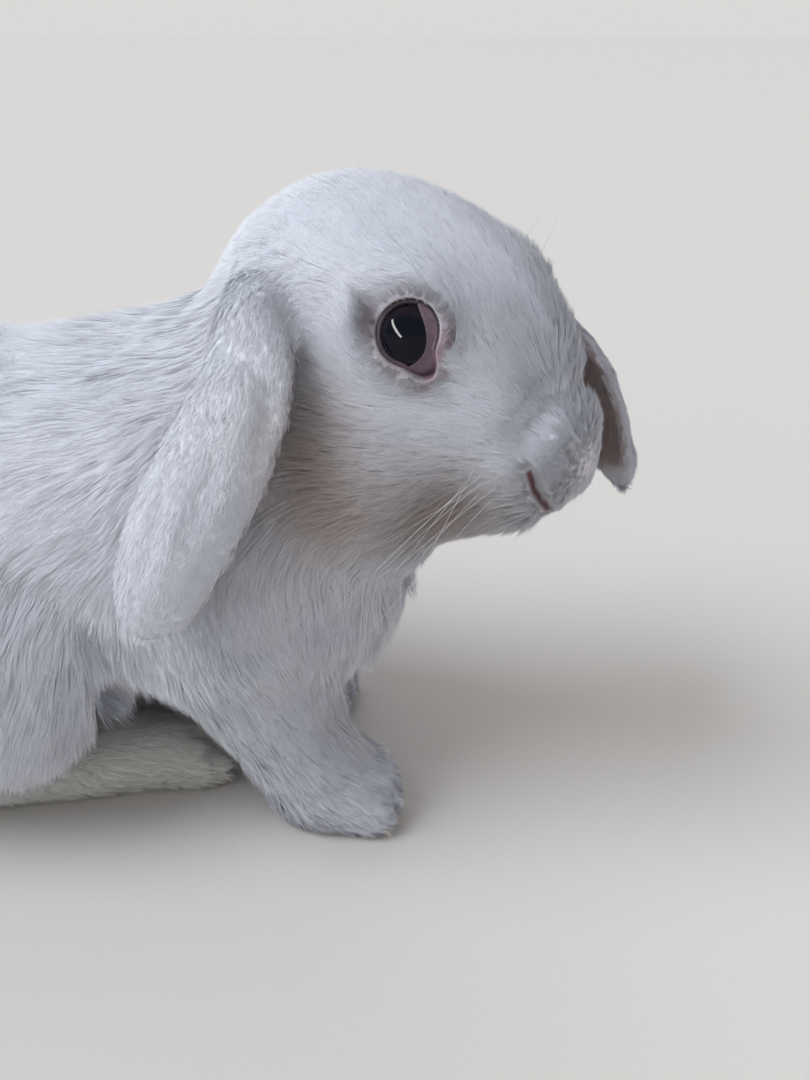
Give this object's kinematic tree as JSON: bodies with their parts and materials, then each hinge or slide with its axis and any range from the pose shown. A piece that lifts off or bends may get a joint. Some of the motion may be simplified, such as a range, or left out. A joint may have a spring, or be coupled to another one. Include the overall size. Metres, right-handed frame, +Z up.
{
  "type": "lop rabbit",
  "caption": "Lop-eared rabbit at life size, sitting up alert on all four feet with its head turned, its ears hanging and a short soft coat.",
  "frame": {"origin": "on the floor under the middle of the rabbit's bounding box", "axes": "+X towards the rabbit's front, +Y to its left, +Z up"},
  "size_m": [0.2946, 0.1284, 0.1544],
  "materials": {
    "coat": "soft white fur",
    "ear": "short white fur, pinkish on the inner side",
    "foot": "short fur, slightly cream from wear",
    "eye": "wet, glossy and nearly black"
  },
  "bodies": {
    "root": {"eye_right": "eye", "eye_left": "eye", "fore_leg_right": "coat", "fore_leg_left": "coat", "fore_paw_right": "coat", "fore_paw_left": "coat", "hind_foot_right": "foot", "hind_foot_left": "foot", "hind_leg_right": "coat", "hind_leg_left": "coat", "tail": "coat", "ear_right": "ear", "ear_left": "ear", "head": "coat", "neck": "coat", "trunk": "coat"}
  },
  "joints": []
}
